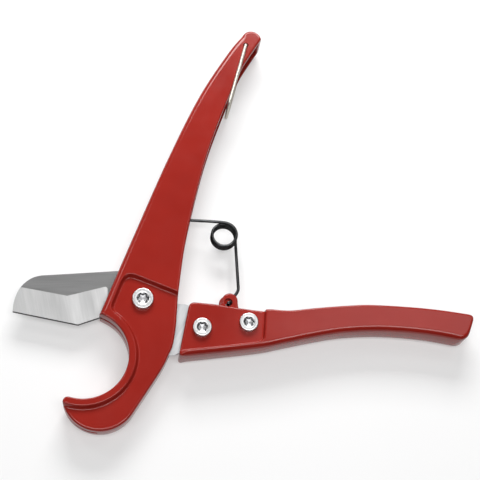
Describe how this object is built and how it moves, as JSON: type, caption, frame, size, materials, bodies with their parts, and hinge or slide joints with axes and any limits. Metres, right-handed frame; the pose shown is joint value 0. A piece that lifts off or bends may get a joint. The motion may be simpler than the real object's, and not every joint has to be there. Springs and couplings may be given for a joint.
{
  "type": "pvc pipe cutter",
  "caption": "Scissor-type cutter for plastic pipe: hooked jaw and handle in one casting, swinging blade on a lower handle, coil return spring and wire latch.",
  "frame": {"origin": "under the middle of the open tool's bounding box, at its lowest point (the latch wire's rear leg)", "axes": "the tool lies flat: +Z is its thickness, up from its rear face; +X runs along the lower handle to its end; +Y runs towards the upper handle's tip"},
  "size_m": [0.2312, 0.2188, 0.0202],
  "materials": {
    "red_paint": "semi-gloss red enamel on die-cast metal",
    "blade_steel": "ground and polished, fine grinding lines",
    "chrome_screw": "bright chrome plate",
    "zinc_steel": "bright zinc plate",
    "black_wire": "black oxide spring wire, semi-gloss",
    "nickel_wire": "nickel-plated wire, slightly warm",
    "bronze": "plain sintered bronze"
  },
  "bodies": {
    "frame": {"jaw_frame": "red_paint", "pivot_bolt": "chrome_screw", "pivot_nut": "zinc_steel", "pivot_lock_washer": "zinc_steel", "thrust_washer_front": "zinc_steel", "thrust_washer_rear": "zinc_steel"},
    "lower_handle": {"lower_handle": "red_paint", "blade": "blade_steel", "pivot_bush": "bronze", "handle_screw_front": "chrome_screw", "handle_screw_rear": "chrome_screw", "handle_nut_front": "zinc_steel", "handle_nut_rear": "zinc_steel", "handle_lock_washer_front": "zinc_steel", "handle_lock_washer_rear": "zinc_steel"},
    "spring_lower": {"spring_lower_half": "black_wire"},
    "spring_upper": {"spring_upper_half": "black_wire"},
    "latch_bail": {"latch_bail": "nickel_wire"}
  },
  "joints": [
    {"name": "handle_pivot", "type": "hinge", "parent": "frame", "child": "lower_handle", "pos_m": [-0.05173, -0.04396, 0.01012], "axis": [0, 0, 1], "range_deg": [0, 64], "stiffness_Nm_per_rad": 0.25, "springref_deg": -40.11},
    {"name": "spring_lug_pivot", "type": "hinge", "parent": "lower_handle", "child": "spring_lower", "pos_m": [-0.00893, -0.04576, 0.01012], "axis": [0, 0, 1], "range_deg": [-76, 0.5]},
    {"name": "spring_coil_wind", "type": "hinge", "parent": "spring_lower", "child": "spring_upper", "pos_m": [-0.00953, -0.00846, 0.01012], "axis": [0, 0, 1], "range_deg": [-0.5, 86]},
    {"name": "latch_bail_swing", "type": "hinge", "parent": "frame", "child": "latch_bail", "pos_m": [0.00557, 0.10014, 0.01012], "axis": [0, 0, 1], "range_deg": [0, 145]}
  ],
  "couplings": [
    {"joint": "spring_lug_pivot", "follows": "handle_pivot", "ratio": -1.17},
    {"joint": "spring_coil_wind", "follows": "handle_pivot", "ratio": 1.33}
  ]
}
